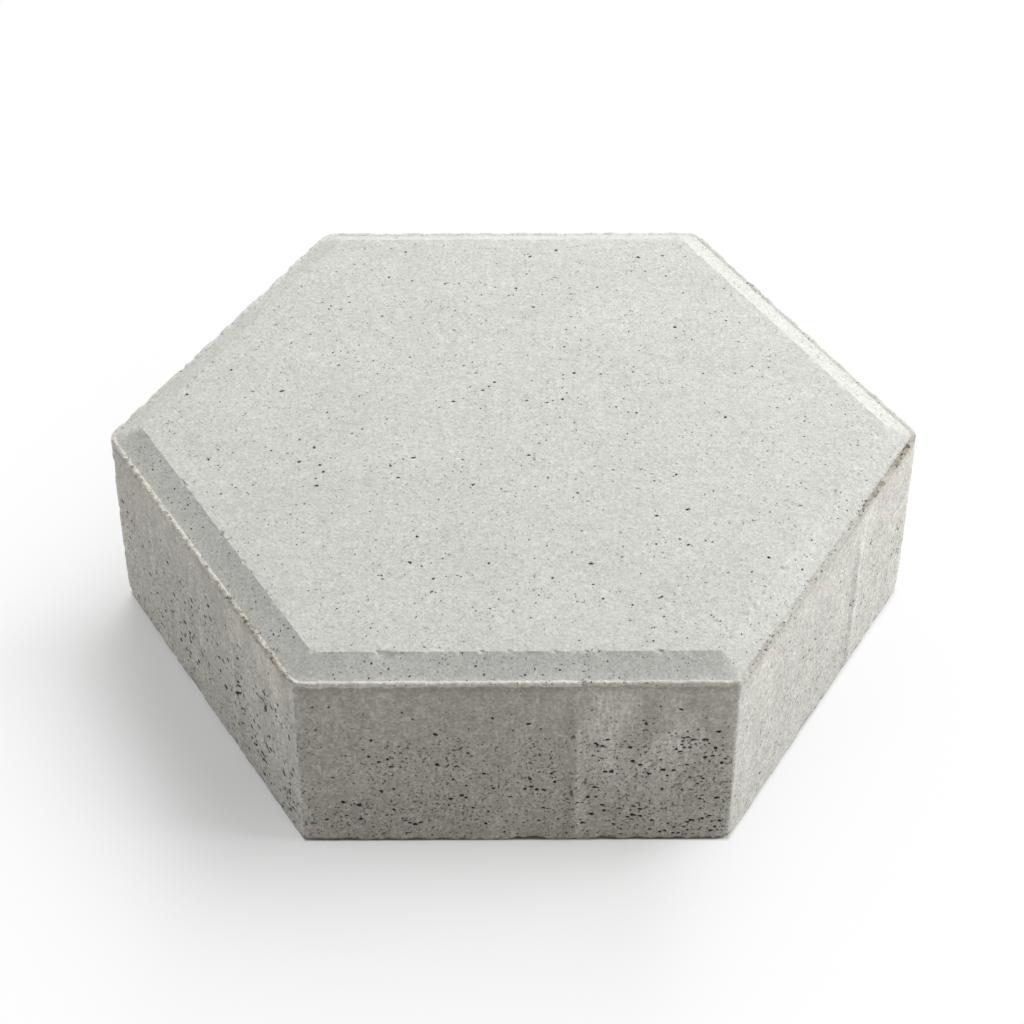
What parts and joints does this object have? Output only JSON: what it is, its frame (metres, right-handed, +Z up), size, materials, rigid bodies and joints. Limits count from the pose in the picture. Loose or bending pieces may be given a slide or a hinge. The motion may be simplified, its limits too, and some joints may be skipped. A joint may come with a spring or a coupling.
{
  "type": "hexagonal concrete paving stone",
  "caption": "Hexagonal pressed concrete paving stone with a sloped top edge and upright spacer ribs on its walls, laid flat among its like to pave paths, yards and squares.",
  "frame": {"origin": "middle of the flat bed, on the level that the stone rests on", "axes": "+Z up out of the walked-on face, +X towards a corner, +Y square out of a wall"},
  "size_m": [0.2882, 0.252, 0.08],
  "materials": {
    "concrete": "vibro-pressed grey concrete, fine sandy top and drag-marked walls"
  },
  "bodies": {
    "root": {"paving_stone": "concrete"}
  },
  "joints": []
}
